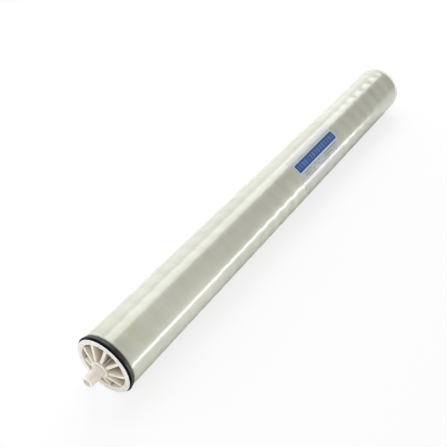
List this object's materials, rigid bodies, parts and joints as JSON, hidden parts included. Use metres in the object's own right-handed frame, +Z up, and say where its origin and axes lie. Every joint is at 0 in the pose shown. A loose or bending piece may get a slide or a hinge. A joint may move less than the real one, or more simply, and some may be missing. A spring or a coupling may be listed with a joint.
{
  "type": "ro membrane element",
  "caption": "Spiral-wound reverse osmosis element: fibreglass-wrapped leaf roll on a permeate tube, spoked end caps and a U-cup brine seal at the feed end.",
  "frame": {"origin": "on the permeate tube's axis at mid-length", "axes": "+X along the tube from the feed end (with the brine seal) to the brine end, +Z up, the label faces -Y and up"},
  "size_m": [1.016, 0.1022, 0.1022],
  "materials": {
    "shell_resin": "gloss clear resin over filament-wound glass",
    "cap_moulding": "satin moulded",
    "seal_rubber": "satin",
    "centre_tube": "satin",
    "membrane": "matt",
    "spacer_net": "satin",
    "carrier_cloth": "matt",
    "binding_tape": "gloss",
    "label_film": "gloss film"
  },
  "bodies": {
    "root": {"permeate_tube": "centre_tube", "core_wrap": "carrier_cloth", "tape_wrap": "binding_tape", "membrane_leaf_1": "membrane", "membrane_leaf_2": "membrane", "membrane_leaf_3": "membrane", "membrane_leaf_4": "membrane", "membrane_leaf_5": "membrane", "membrane_leaf_6": "membrane", "feed_spacer_1": "spacer_net", "feed_spacer_2": "spacer_net", "feed_spacer_3": "spacer_net", "feed_spacer_4": "spacer_net", "feed_spacer_5": "spacer_net", "feed_spacer_6": "spacer_net", "fiberglass_shell": "shell_resin", "feed_end_cap": "cap_moulding", "brine_end_cap": "cap_moulding", "brine_seal": "seal_rubber", "label": "label_film"}
  },
  "joints": []
}
